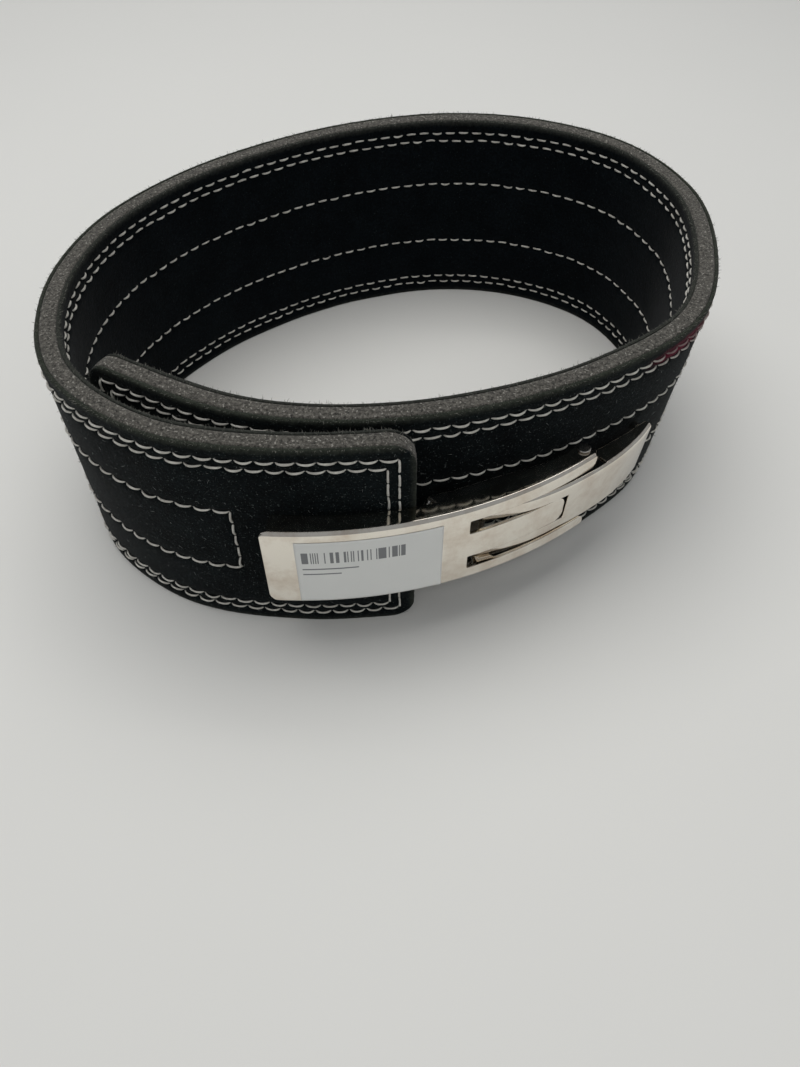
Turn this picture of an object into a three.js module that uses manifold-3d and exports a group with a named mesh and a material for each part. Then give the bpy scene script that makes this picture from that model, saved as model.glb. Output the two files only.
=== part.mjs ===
// A lever-buckle weight belt: a thick strap of leather between two suede skins, closed in a
// ring and standing on its lower edge, with a two-plate steel buckle at the front.
// Millimetres, +Z up. The origin is under the middle of the whole belt, on the ground.
import * as THREE from 'three';
import { mergeVertices } from 'three/addons/utils/BufferGeometryUtils.js';
import Module from 'manifold-3d';

const wasm = await Module();
wasm.setup();

// ---- Driving dimensions ---------------------------------------------------------------

// The strap's centre line, seen from above, from its outer end clockwise to its inner end.
const STRAP_PLAN = [
  [10, -110], [-38, -112], [-84, -103], [-121, -73], [-134, -27], [-126, 20], [-100, 60],
  [-63, 91], [-21, 113], [26, 124], [73, 118], [114, 93], [135, 51], [134, 3], [118, -41],
  [81, -71], [37, -90], [-11, -98], [-58, -92], [-110, -66],
];
const STRAP_WIDTH = 100;
const STRAP_THICKNESS = 10;
const SKIN = 1.7;
const GAP = 0.3;
const STRAP_STEP = 20;
const STRAP_CORNER = 10;

// Sewn rows: distance of each row from the strap's edge, and of the ends of the middle rows.
const EDGE_ROWS = [6, 10];
const MIDDLE_ROW = 33.3;
const MIDDLE_FROM_OUTER_END = 67;
const MIDDLE_FROM_INNER_END = 42;
const THREAD_WIDTH = 1;
const THREAD_HEIGHT = 0.6;

// Hook holes near the inner end, in pairs above and below the middle height.
const HOOK_PITCH = 25;
const HOOK_PAIRS = 7;
const HOOK_SPREAD = 9;
const HOOK_HOLE_R = 2.7;
const HOOKED_AT = [102, -63];

// The buckle's plates bend about one upright line.
const BEND = new THREE.Vector2(-33.2, 52.5);
const MID_HEIGHT = STRAP_WIDTH / 2;
const SHEET = 1.6;
const BUCKLE_STEP = 3;
const LEVER_R = 181.4;
const LEVER_ANGLES = [-3.9, 38.6];
const LEVER_HALF_HEIGHT = 20.5;
const LEVER_CORNER = 6;
// The inner edge of the lever's flanges, as [radius, angle], from the pin to the far end.
const LEVER_FLANGE = [[172.8, 30], [173.9, 17], [173.9, 15], [171.5, -2]];
const SLOT_START = 20.7;
const TONGUE_END = 34;
const TONGUE_HALF_HEIGHT = 6.8;
const ARM_HEIGHT = 6.5;
const LUG = { inner: 63.9, outer: 65.7, angles: [21, 25], tip: [22, 24] };
const EAR = { inner: 66.3, outer: 68.1 };
const MAIN_PIVOT = { angle: 37.9, radius: 176, pin: 1.8, eye: 3.5 };
const CLAW_PIVOT = { angle: 23, radius: 175.6, pin: 1.3, eye: 2.7 };
const CLAW_HALF_HEIGHT = 13.4;
const CLAW_RAIL = 6.2;
// The claw's outer face and its flange's outline, as [angle, radius].
const CLAW_CROWN = [
  [23, 178.3], [26, 179.6], [29, 181], [32, 181.8], [34.5, 182.3], [38, 182.9], [43, 183.4],
  [48, 182.7], [50, 181.6],
];
const CLAW_SOLID_CROWN = 4;
const CLAW_FLANGE = [
  [40.4, 182.5], [43, 182.7], [48, 182], [50, 181], [50, 178.5], [41.4, 174.6], [40.4, 176],
];
const CLAW_END = { angle: 50, thickness: 0.5, outer: 181.4, inner: 178.5 };
const PRONG_R = 2;
const PRONG_DEPTH = 7;
const PRONG_LENGTH = 11;

// The base plate, its four screws and the posts that they turn into.
const BASE_HALF_HEIGHT = 17;
const BASE_LENGTH = 51;
const BASE_FLOOR_R = 167.7;
const BASE_FLOOR_ANGLES = [16.2, 25];
const BASE_STEP_ANGLES = [16.4, 16.9];
const EAR_TIE_FROM = 16.8;
// The ears' outline, as [radius, angle].
const EAR_BACK = [[167.7, 16.6], [167.7, 25], [170, 31], [173, 37]];
const EAR_NOSE = [[175, 38.9], [177, 39], [178.9, 38.4]];
const EAR_FRONT = [[179.3, 37.4], [176, 30], [174.5, 25], [173.5, 17.4]];
const SCREW_ALONG = [19, 43];
const SCREW_SPREAD = 10;
const SCREW = { shank: 1.5, head: 4, headHeight: 1.2 };
const POST = { bore: 1.8, outer: 2.6, head: 5, headHeight: 1.2 };

const LABEL = { angles: [-0.1, 17.2], low: 31, high: 66, thickness: 0.2 };

// ---- Paths that pieces bend along -----------------------------------------------------

const radians = THREE.MathUtils.degToRad;

// A point of the buckle: radius from the bend's centre, angle from the front towards +X.
function polar(radius, degrees) {
  const angle = radians(degrees);
  const x = BEND.x + radius * Math.sin(angle);
  const y = BEND.y - radius * Math.cos(angle);
  return new THREE.Vector2(x, y);
}

const strapCurve = new THREE.SplineCurve(STRAP_PLAN.map(([x, y]) => new THREE.Vector2(x, y)));
strapCurve.arcLengthDivisions = 2000;
const STRAP_LENGTH = strapCurve.getLength();

// The strap's frame at a distance from its outer end; it runs straight on past either end.
function strapFrame(along) {
  const inside = THREE.MathUtils.clamp(along, 0, STRAP_LENGTH);
  const tangent = strapCurve.getTangentAt(inside / STRAP_LENGTH);
  const point = strapCurve.getPointAt(inside / STRAP_LENGTH);
  point.addScaledVector(tangent, along - inside);
  return { point, tangent, outward: new THREE.Vector2(-tangent.y, tangent.x) };
}

// The strap is made of flat facets between these distances, closer at its rounded corners.
const STATIONS = strapStations();

function strapStations() {
  const cornerSteps = 4;
  const insets = [];
  for (let i = 0; i < cornerSteps; i += 1) {
    insets.push(STRAP_CORNER * (1 - Math.cos((i / cornerSteps) * Math.PI / 2)));
  }
  const straight = STRAP_LENGTH - 2 * STRAP_CORNER;
  const count = Math.round(straight / STRAP_STEP);
  const middle = [];
  for (let i = 0; i <= count; i += 1) {
    middle.push(STRAP_CORNER + straight * (i / count));
  }
  return [...insets, ...middle, ...insets.map((inset) => STRAP_LENGTH - inset).reverse()];
}

// A plan point on the faceted strap, a distance along it and an offset out from its middle.
function strapPath(along, offset) {
  const next = STATIONS.findIndex((station) => station > along);
  const last = next < 0 ? STATIONS.length - 1 : Math.max(1, next);
  const [from, to] = [STATIONS[last - 1], STATIONS[last]].map(strapFrame);
  const start = from.point.addScaledVector(from.outward, offset);
  const end = to.point.addScaledVector(to.outward, offset);
  const t = (along - STATIONS[last - 1]) / (STATIONS[last] - STATIONS[last - 1]);
  return start.lerp(end, t);
}

function strapStationsBetween(start, end) {
  return [start, ...STATIONS.filter((station) => station > start && station < end), end];
}

// A plan point of the buckle at an angle in degrees, the offset being its radius.
function bucklePath(degrees, radius) {
  return polar(radius, degrees);
}

function buckleStationsBetween(start, end) {
  const count = Math.max(1, Math.round((end - start) / BUCKLE_STEP));
  return Array.from({ length: count + 1 }, (_, i) => start + (end - start) * (i / count));
}

// The distance along the strap of the point of its centre line nearest to a plan point.
function strapDistanceTo(target) {
  const samples = strapCurve.getSpacedPoints(Math.round(STRAP_LENGTH));
  const distances = samples.map((sample) => sample.distanceTo(target));
  return distances.indexOf(Math.min(...distances)) * STRAP_LENGTH / Math.round(STRAP_LENGTH);
}

// ---- Solids ---------------------------------------------------------------------------

function toSolid(geometry) {
  const bare = geometry.clone();
  bare.deleteAttribute('normal');
  bare.deleteAttribute('uv');
  const merged = mergeVertices(bare);
  const vertProperties = new Float32Array(merged.attributes.position.array);
  const triVerts = new Uint32Array(merged.index.array);
  return new wasm.Manifold(new wasm.Mesh({ numProp: 3, vertProperties, triVerts }));
}

function toGeometry(solid) {
  const mesh = solid.getMesh();
  const geometry = new THREE.BufferGeometry();
  geometry.setAttribute('position', new THREE.BufferAttribute(mesh.vertProperties, 3));
  geometry.setIndex(new THREE.BufferAttribute(mesh.triVerts, 1));
  geometry.computeVertexNormals();
  return geometry;
}

function join(...geometries) {
  return geometries.map(toSolid).reduce((whole, piece) => whole.add(piece));
}

function cut(solid, tools) {
  return tools.map(toSolid).reduce((left, tool) => left.subtract(tool), solid);
}

// How far a rounded corner pulls the edge in, at a distance from the strap's nearer end.
function cornerInset(along) {
  const distance = Math.max(0, Math.min(along, STRAP_LENGTH - along));
  if (distance >= STRAP_CORNER) {
    return 0;
  }
  return STRAP_CORNER - Math.sqrt(STRAP_CORNER ** 2 - (STRAP_CORNER - distance) ** 2);
}

// A bar that follows a path through stations along it, from inner to outer across it.
function bentBar(path, stations, [inner, outer], [low, high], insetAt = () => 0) {
  const geometry = new THREE.BoxGeometry(1, 1, 1, stations.length - 1, 1, 1);
  const position = geometry.attributes.position;
  for (let i = 0; i < position.count; i += 1) {
    const along = stations[Math.round((position.getX(i) + 0.5) * (stations.length - 1))];
    const point = path(along, position.getY(i) > 0 ? outer : inner);
    const inset = insetAt(along);
    position.setXYZ(i, point.x, point.y, position.getZ(i) > 0 ? high - inset : low + inset);
  }
  const middle = path(stations[0], inner);
  const onward = path(stations[1], inner).sub(middle);
  const outward = path(stations[0], outer).sub(middle);
  if (onward.cross(outward) < 0) {
    geometry.index.array.reverse();
  }
  return geometry;
}

// An upright prism over a plan outline.
function prism(points, low, high) {
  const geometry = new THREE.ExtrudeGeometry(new THREE.Shape(points), {
    depth: high - low,
    bevelEnabled: false,
  });
  geometry.translate(0, 0, low);
  return geometry;
}

// An upright round bar about a plan point.
function uprightBar(centre, radius, low, high, sides = 16) {
  const geometry = new THREE.CylinderGeometry(radius, radius, high - low, sides);
  geometry.rotateX(Math.PI / 2);
  geometry.translate(centre.x, centre.y, (low + high) / 2);
  return geometry;
}

// Points along an arc of the buckle, the radius changing evenly from one end to the other.
function arcPoints([fromRadius, fromAngle], [toRadius, toAngle], steps) {
  const points = [];
  for (let i = 0; i <= steps; i += 1) {
    const t = i / steps;
    const radius = THREE.MathUtils.lerp(fromRadius, toRadius, t);
    points.push(polar(radius, THREE.MathUtils.lerp(fromAngle, toAngle, t)));
  }
  return points;
}

// The same height range on both sides of the middle height: above it, then below it.
function mirrored(low, high) {
  return [[low, high], [STRAP_WIDTH - high, STRAP_WIDTH - low]];
}

// Turns a shape made about +Z so that +Z points outward from the strap, and places it.
function placeOnStrap(geometry, along, offset, height) {
  const { tangent, outward } = strapFrame(along);
  const point = strapPath(along, offset);
  const matrix = new THREE.Matrix4().makeBasis(
    new THREE.Vector3(-tangent.x, -tangent.y, 0),
    new THREE.Vector3(0, 0, 1),
    new THREE.Vector3(outward.x, outward.y, 0),
  );
  matrix.setPosition(point.x, point.y, height);
  geometry.applyMatrix4(matrix);
  return geometry;
}

// ---- Strap ----------------------------------------------------------------------------

const HALF = STRAP_THICKNESS / 2;
const BASE_SEAT = HALF + GAP + THREAD_HEIGHT + GAP;
const HOOKED_ALONG = strapDistanceTo(new THREE.Vector2(...HOOKED_AT));

function hookHoles() {
  const holes = [];
  for (let pair = 0; pair < HOOK_PAIRS; pair += 1) {
    for (const side of [-1, 1]) {
      const hole = new THREE.CylinderGeometry(HOOK_HOLE_R, HOOK_HOLE_R, 16, 12);
      hole.rotateX(Math.PI / 2);
      const along = HOOKED_ALONG + pair * HOOK_PITCH;
      holes.push(placeOnStrap(hole, along, 0, MID_HEIGHT + side * HOOK_SPREAD));
    }
  }
  return holes;
}

function postHoles() {
  return fastenerPlaces().map(({ along, height }) => {
    const hole = new THREE.CylinderGeometry(POST.outer + GAP, POST.outer + GAP, 16, 12);
    hole.rotateX(Math.PI / 2);
    return placeOnStrap(hole, along, 0, height);
  });
}

function fastenerPlaces() {
  const places = [];
  for (const along of SCREW_ALONG) {
    for (const side of [-1, 1]) {
      places.push({ along, height: MID_HEIGHT + side * SCREW_SPREAD });
    }
  }
  return places;
}

function strapPly(inner, outer) {
  const ply = bentBar(strapPath, STATIONS, [inner, outer], [0, STRAP_WIDTH], cornerInset);
  return toGeometry(cut(toSolid(ply), [...hookHoles(), ...postHoles()]));
}

// One closed loop of thread lying on a face: a thin bent sheet with its middle cut away.
function threadLoop(side, fromEdge, fromOuterEnd, fromInnerEnd) {
  const surface = side * (HALF + GAP);
  const top = surface + side * THREAD_HEIGHT;
  const across = [Math.min(surface, top), Math.max(surface, top)];
  const half = THREAD_WIDTH / 2;
  const sheet = (margin, [inner, outer]) => bentBar(
    strapPath,
    strapStationsBetween(fromOuterEnd - margin, STRAP_LENGTH - fromInnerEnd + margin),
    [inner, outer],
    [fromEdge - margin, STRAP_WIDTH - fromEdge + margin],
  );
  const whole = toSolid(sheet(half, across));
  return toGeometry(cut(whole, [sheet(-half, [across[0] - 1, across[1] + 1])]));
}

// ---- Buckle ---------------------------------------------------------------------------

const mainPivot = polar(MAIN_PIVOT.radius, MAIN_PIVOT.angle);
const clawPivot = polar(CLAW_PIVOT.radius, CLAW_PIVOT.angle);

function leverPlate([from, to], heights) {
  return bentBar(bucklePath, buckleStationsBetween(from, to), [LEVER_R - SHEET, LEVER_R],
    heights);
}

// The lever: a bent face with a slot above and below its tongue, two flanges that turn in
// towards the strap and carry the main pin, and two lugs that carry the claw's pin.
function leverGeometry() {
  const [from, to] = LEVER_ANGLES;
  const low = MID_HEIGHT - LEVER_HALF_HEIGHT;
  const high = MID_HEIGHT + LEVER_HALF_HEIGHT;
  const cornerAngle = THREE.MathUtils.radToDeg(LEVER_CORNER / LEVER_R);
  const overlap = 0.5;
  const tongue = [MID_HEIGHT - TONGUE_HALF_HEIGHT, MID_HEIGHT + TONGUE_HALF_HEIGHT];
  const pieces = [
    leverPlate([from + cornerAngle, SLOT_START], [low, high]),
    leverPlate([from, from + 2 * cornerAngle], [low + LEVER_CORNER, high - LEVER_CORNER]),
    leverPlate([SLOT_START - overlap, TONGUE_END], tongue),
  ];
  for (const heights of mirrored(low, low + ARM_HEIGHT)) {
    pieces.push(leverPlate([SLOT_START - overlap, to], heights));
  }
  for (const heights of mirrored(low, low + SHEET)) {
    pieces.push(prism([
      ...arcPoints([LEVER_R - SHEET / 2, from + cornerAngle], [LEVER_R - SHEET / 2, to], 14),
      ...arcPoints([MAIN_PIVOT.radius - 2.5, to], [MAIN_PIVOT.radius - 3, to - 1.8], 2),
      ...arcPoints(LEVER_FLANGE[0], LEVER_FLANGE[1], 4),
      ...arcPoints(LEVER_FLANGE[2], LEVER_FLANGE[3], 6),
    ], ...heights));
  }
  for (const heights of mirrored(LUG.inner, LUG.outer)) {
    const reach = CLAW_PIVOT.radius - CLAW_PIVOT.eye;
    const root = LEVER_R - SHEET / 2;
    pieces.push(prism([
      ...arcPoints([root, LUG.angles[0]], [root, LUG.angles[1]], 2),
      ...arcPoints([reach, LUG.tip[1]], [reach, LUG.tip[0]], 2),
    ], ...heights));
  }
  return toGeometry(cut(join(...pieces), [
    uprightBar(mainPivot, MAIN_PIVOT.pin + GAP, 0, STRAP_WIDTH),
    uprightBar(clawPivot, CLAW_PIVOT.pin + GAP, 0, STRAP_WIDTH),
  ]));
}

// The claw: two rails with eyes on the claw's pin, a solid plate beyond the lever's tongue,
// short flanges, a turned-in end and two prongs that sit in a pair of hook holes.
function clawGeometry() {
  const low = MID_HEIGHT - CLAW_HALF_HEIGHT;
  const high = MID_HEIGHT + CLAW_HALF_HEIGHT;
  const outline = (points) => points.map(([angle, radius]) => polar(radius, angle));
  const strip = (points) => [
    ...outline(points),
    ...outline(points.map(([angle, radius]) => [angle, radius - SHEET])).reverse(),
  ];
  const pieces = [prism(strip(CLAW_CROWN.slice(CLAW_SOLID_CROWN)), low, high)];
  for (const heights of mirrored(low, low + CLAW_RAIL)) {
    pieces.push(prism(strip(CLAW_CROWN.slice(0, CLAW_SOLID_CROWN + 2)), ...heights));
    pieces.push(uprightBar(clawPivot, CLAW_PIVOT.eye, ...heights));
  }
  for (const heights of mirrored(low, low + SHEET)) {
    pieces.push(prism(outline(CLAW_FLANGE), ...heights));
  }
  const { angle, thickness, outer, inner } = CLAW_END;
  pieces.push(prism(outline([[angle - thickness, outer], [angle, outer], [angle, inner],
    [angle - thickness, inner]]), low, high));
  for (const side of [-1, 1]) {
    const prong = new THREE.CylinderGeometry(PRONG_R, PRONG_R, PRONG_LENGTH, 12);
    prong.rotateX(Math.PI / 2);
    const offset = HALF - PRONG_DEPTH + PRONG_LENGTH / 2;
    pieces.push(placeOnStrap(prong, HOOKED_ALONG, offset, MID_HEIGHT + side * HOOK_SPREAD));
  }
  return toGeometry(cut(join(...pieces), [
    uprightBar(clawPivot, CLAW_PIVOT.pin + GAP, 0, STRAP_WIDTH),
  ]));
}

// The base plate: a foot on the strap's outer end, a step down past that end, a floor, and
// two ears that reach forward to the main pin.
function basePlateGeometry() {
  const low = MID_HEIGHT - BASE_HALF_HEIGHT;
  const high = MID_HEIGHT + BASE_HALF_HEIGHT;
  const footInner = BASE_SEAT;
  const footOuter = footInner + SHEET;
  const foot = bentBar(strapPath, strapStationsBetween(-1, BASE_LENGTH),
    [footInner, footOuter], [low, high]);
  const [stepFrom, stepTo] = BASE_STEP_ANGLES;
  const step = prism([strapPath(2, footOuter), strapPath(-1, footOuter),
    polar(BASE_FLOOR_R + SHEET, stepTo), polar(BASE_FLOOR_R, stepFrom),
    strapPath(-1, footInner), strapPath(2, footInner + SHEET / 2)], low, high);
  const pieces = [foot, step, baseFloor(BASE_FLOOR_ANGLES[0], low, high),
    baseFloor(EAR_TIE_FROM, STRAP_WIDTH - EAR.outer, EAR.outer)];
  for (const heights of mirrored(EAR.inner, EAR.outer)) {
    pieces.push(prism([
      ...arcPoints(EAR_BACK[0], EAR_BACK[1], 3),
      ...arcPoints(EAR_BACK[2], EAR_BACK[3], 2),
      ...EAR_NOSE.map(([radius, angle]) => polar(radius, angle)),
      ...arcPoints(EAR_FRONT[0], EAR_FRONT[1], 2),
      ...arcPoints(EAR_FRONT[2], EAR_FRONT[3], 3),
    ], ...heights));
  }
  const drills = [uprightBar(mainPivot, MAIN_PIVOT.pin + GAP, 0, STRAP_WIDTH)];
  for (const { along, height } of fastenerPlaces()) {
    const drill = new THREE.CylinderGeometry(POST.bore, POST.bore, 8, 12);
    drill.rotateX(Math.PI / 2);
    drills.push(placeOnStrap(drill, along, footInner, height));
  }
  return toGeometry(cut(join(...pieces), drills));
}

// The plate's floor from an angle to its far end; a taller strip of it ties the ears in.
function baseFloor(fromAngle, low, high) {
  const toAngle = BASE_FLOOR_ANGLES[1];
  return prism([
    ...arcPoints([BASE_FLOOR_R + SHEET, fromAngle], [BASE_FLOOR_R + SHEET, toAngle], 3),
    ...arcPoints([BASE_FLOOR_R, toAngle], [BASE_FLOOR_R, fromAngle], 3),
  ], low, high);
}

// A headed pin through both plates' eyes, lying along the upright pivot line.
function pinGeometry(centre, radius, low, high, headRadius, headHeight) {
  const profile = headRadius > radius
    ? [[0, low - headHeight], [headRadius, low - headHeight], [headRadius, low], [radius, low],
      [radius, high], [headRadius, high], [headRadius, high + headHeight],
      [0, high + headHeight]]
    : [[0, low], [radius, low], [radius, high], [0, high]];
  const geometry = new THREE.LatheGeometry(profile.map(([r, z]) => new THREE.Vector2(r, z)), 16);
  geometry.rotateX(Math.PI / 2);
  geometry.translate(centre.x, centre.y, 0);
  return geometry;
}

function screwGeometry(along, height) {
  const seat = BASE_SEAT + SHEET + GAP;
  const tip = -HALF + 2.5;
  const points = [[0, tip], [SCREW.shank, tip], [SCREW.shank, seat], [SCREW.head, seat],
    [SCREW.head - 0.6, seat + SCREW.headHeight], [0, seat + SCREW.headHeight]];
  const geometry = new THREE.LatheGeometry(points.map(([r, y]) => new THREE.Vector2(r, y)), 12);
  geometry.rotateX(Math.PI / 2);
  return placeOnStrap(geometry, along, 0, height);
}

function postGeometry(along, height) {
  const face = -HALF - GAP;
  const mouth = HALF - 0.2;
  const bottom = -HALF + 1.5;
  const points = [[0, face - POST.headHeight], [POST.head, face - POST.headHeight],
    [POST.head, face], [POST.outer, face], [POST.outer, mouth], [POST.bore, mouth],
    [POST.bore, bottom], [0, bottom]];
  const geometry = new THREE.LatheGeometry(points.map(([r, y]) => new THREE.Vector2(r, y)), 12);
  geometry.rotateX(Math.PI / 2);
  return placeOnStrap(geometry, along, 0, height);
}

function labelGeometry() {
  const inner = LEVER_R + GAP;
  return bentBar(bucklePath, buckleStationsBetween(...LABEL.angles),
    [inner, inner + LABEL.thickness], [LABEL.low, LABEL.high]);
}

// ---- Materials and assembly -----------------------------------------------------------

const leather = new THREE.MeshStandardMaterial({ color: 0x4a4640, roughness: 0.95, metalness: 0 });
const suede = new THREE.MeshStandardMaterial({ color: 0x14181a, roughness: 1, metalness: 0 });
const thread = new THREE.MeshStandardMaterial({ color: 0xd8d5c8, roughness: 0.8, metalness: 0 });
const chrome = new THREE.MeshStandardMaterial({ color: 0xd6d2ca, roughness: 0.12, metalness: 1 });
const steel = new THREE.MeshStandardMaterial({ color: 0xa8a8a6, roughness: 0.35, metalness: 1 });
const paper = new THREE.MeshStandardMaterial({ color: 0xc9ccd0, roughness: 0.7, metalness: 0 });

const belt = new THREE.Group();

function addPiece(name, geometry, material) {
  const mesh = new THREE.Mesh(geometry, material);
  mesh.name = name;
  belt.add(mesh);
}

addPiece('strap_core', strapPly(-HALF + SKIN + GAP, HALF - SKIN - GAP), leather);
addPiece('outer_suede', strapPly(HALF - SKIN, HALF), suede);
addPiece('inner_suede', strapPly(-HALF, -HALF + SKIN), suede);

for (const [face, side] of [['outer', 1], ['inner', -1]]) {
  EDGE_ROWS.forEach((row, i) => {
    addPiece(`${face}_edge_thread_${i + 1}`, threadLoop(side, row, row, row), thread);
  });
  const middle = threadLoop(side, MIDDLE_ROW, MIDDLE_FROM_OUTER_END, MIDDLE_FROM_INNER_END);
  addPiece(`${face}_middle_thread`, middle, thread);
}

addPiece('base_plate', basePlateGeometry(), steel);
fastenerPlaces().forEach(({ along, height }, i) => {
  addPiece(`base_screw_${i + 1}`, screwGeometry(along, height), steel);
  addPiece(`binding_post_${i + 1}`, postGeometry(along, height), steel);
});

const pinTop = MID_HEIGHT + LEVER_HALF_HEIGHT + GAP;
addPiece('main_pivot_pin',
  pinGeometry(mainPivot, MAIN_PIVOT.pin, STRAP_WIDTH - pinTop, pinTop, 2.6, 0.7), steel);
addPiece('lever', leverGeometry(), chrome);
addPiece('claw_pivot_pin',
  pinGeometry(clawPivot, CLAW_PIVOT.pin, STRAP_WIDTH - LUG.outer, LUG.outer, 0, 0), steel);
addPiece('claw', clawGeometry(), chrome);
addPiece('price_label', labelGeometry(), paper);

// The origin goes under the middle of the whole belt.
const box = new THREE.Box3().setFromObject(belt);
const centre = box.getCenter(new THREE.Vector3());
belt.position.set(-centre.x, -centre.y, -box.min.z);

export default belt;
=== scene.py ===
"""A suede lever-buckle weight belt, standing closed on a pale table. Metres, in the CAD frame."""
import math

import bmesh
import bpy
import numpy as np
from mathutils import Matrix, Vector


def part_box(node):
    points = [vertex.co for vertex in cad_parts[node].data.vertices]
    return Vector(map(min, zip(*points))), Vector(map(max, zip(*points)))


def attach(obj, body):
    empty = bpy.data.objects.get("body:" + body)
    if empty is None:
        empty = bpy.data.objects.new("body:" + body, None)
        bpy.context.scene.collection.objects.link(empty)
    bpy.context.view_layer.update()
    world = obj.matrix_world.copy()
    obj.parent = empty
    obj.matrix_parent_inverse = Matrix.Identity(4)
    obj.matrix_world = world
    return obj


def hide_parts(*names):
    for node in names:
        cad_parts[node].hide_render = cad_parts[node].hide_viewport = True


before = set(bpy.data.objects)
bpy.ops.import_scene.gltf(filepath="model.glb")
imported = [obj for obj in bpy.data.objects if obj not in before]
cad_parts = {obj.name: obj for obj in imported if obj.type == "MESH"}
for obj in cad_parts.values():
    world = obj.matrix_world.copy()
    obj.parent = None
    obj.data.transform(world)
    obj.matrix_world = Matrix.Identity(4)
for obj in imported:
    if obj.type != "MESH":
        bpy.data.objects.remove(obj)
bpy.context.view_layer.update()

MM = 0.001
rng = np.random.default_rng(11)

# ---- Driving sizes, in millimetres and degrees ------------------------------------------

STRAP_PLAN = [
    (10, -110), (-38, -112), (-84, -103), (-121, -73), (-134, -27), (-126, 20), (-100, 60),
    (-63, 91), (-21, 113), (26, 124), (73, 118), (114, 93), (135, 51), (134, 3), (118, -41),
    (81, -71), (37, -90), (-11, -98), (-58, -92), (-110, -66),
]
WIDTH = 100.0
HALF = 5.0
SKIN = 1.75
CORNER = 10.0
EDGE_ROWS = (6.0, 10.0)
MIDDLE_ROW = 33.3
MIDDLE_ENDS = (67.0, 42.0)
STITCH_PITCH = 7.0
# Length and bow of the stitches on the outer and the inner face.
OUTER_STITCH = (6.7, 0.85)
INNER_STITCH = (5.2, 0.4)
THREAD_R = 0.45

# Holes punched through the strap: pairs for the claw, and four for the binding posts.
HOOKED_AT = (102.0, -63.0)
HOOK_HEIGHTS = (41.0, 59.0)
HOOK_PITCH = 25.0
HOOK_PAIRS = 7
HOOK_HOLE_R = 2.7
POST_ALONG = (19.0, 43.0)
POST_HEIGHTS = (40.0, 60.0)
POST_HOLE_R = 2.9

# The strap's inward lean at its foot: how far, where along the strap, and over what reach.
LEAN = 9.0
LEAN_AT = 680.0
LEAN_REACH = 75.0

# The buckle bends about one upright line; radii and angles are measured from it.
BEND_IN_PLAN = (-33.2, 52.5)
LEVER_R = 181.4
SHEET = 1.6
LEVER_ANGLES = (-3.9, 38.6)
LEVER_HEIGHTS = (29.5, 70.5)
SLOT_START = 20.6
TONGUE_END = 34.2
TONGUE_HEIGHTS = (43.2, 56.8)
ARM_HEIGHT = 6.5
LUG_HEIGHTS = (63.9, 65.7)
ARM_CORNERS = (1.0, 3.0)
LEVER_CORNERS = (5.5, 2.5)
TONGUE_CORNER = 4.5
MAIN_PIVOT = (176.0, 37.9)
CLAW_PIVOT = (175.6, 23.0)
CLAW_EYE = 2.7
CLAW_EYE_FACE_R = 178.3
CLAW_HEIGHTS = (36.45, 63.55)
CLAW_RAIL = 6.35
CLAW_SOLID_FROM = 34.5
CLAW_FLANGE_FROM = 40.4
CLAW_END = 50.0
CLAW_CORNER = 2.0
# The claw's outer face, as (angle, radius).
CLAW_CROWN = [(22.0, 177.7), (23.0, 178.1), (26.0, 179.5), (29.0, 180.9), (32.0, 181.5),
              (34.5, 181.8), (38.0, 182.5), (43.0, 183.1), (48.0, 182.6), (50.5, 181.4)]
CLAW_TWIST = 0.07
FOLD_R = 1.7
PRONG_R = 2.0
PRONG_SPREAD = 9.0
PRONG_DEPTH = 7.0
PRONG_LENGTH = 11.0
LABEL_ANGLES = (-0.1, 17.2)
LABEL_HEIGHTS = (31.0, 66.0)

# ---- Places worked out from the frame ---------------------------------------------------


def middle_of(node):
    low, high = (np.array(corner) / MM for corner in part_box(node))
    return (low + high) / 2


def polar(radius, degrees, centre=(0.0, 0.0)):
    angle = np.radians(degrees)
    return np.stack([centre[0] + radius * np.sin(angle), centre[1] - radius * np.cos(angle)], -1)


BEND = middle_of("main_pivot_pin")[:2] - polar(*MAIN_PIVOT)
PLAN_SHIFT = BEND - np.array(BEND_IN_PLAN)


KNOT_STEPS = 60
TANGENT_REACH = 12


def spline(knots, steps):
    """A uniform Catmull-Rom curve through the knots."""
    knots = np.array(knots, float)
    padded = np.vstack([knots[:1], knots, knots[-1:]])
    t = np.linspace(0, 1, steps, endpoint=False)[:, None]
    spans = []
    for a, b, c, d in zip(padded, padded[1:], padded[2:], padded[3:]):
        v0, v1 = (c - a) / 2, (d - b) / 2
        spans.append((2 * b - 2 * c + v0 + v1) * t ** 3 + (3 * c - 3 * b - 2 * v0 - v1) * t ** 2
                     + v0 * t + b)
    return np.vstack([*spans, knots[-1:]])


LINE = spline(STRAP_PLAN, KNOT_STEPS) + PLAN_SHIFT
LINE_AT = np.concatenate([[0], np.cumsum(np.hypot(*np.diff(LINE, axis=0).T))])
LENGTH = LINE_AT[-1]


def running_mean(values, reach):
    """Each value averaged with as many as reach on both sides."""
    window = np.ones(2 * reach + 1) / (2 * reach + 1)
    return np.convolve(np.pad(values, reach, "edge"), window, "valid")


LINE_STEP = np.apply_along_axis(running_mean, 0, np.gradient(LINE, axis=0), TANGENT_REACH)
LINE_TANGENT = LINE_STEP / np.linalg.norm(LINE_STEP, axis=1)[:, None]


def lean(u, z):
    """How far the strap leans in towards its foot, past the buckle."""
    return LEAN * np.exp(-((u - LEAN_AT) / LEAN_REACH) ** 2) * (1 - z / WIDTH)


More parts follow.
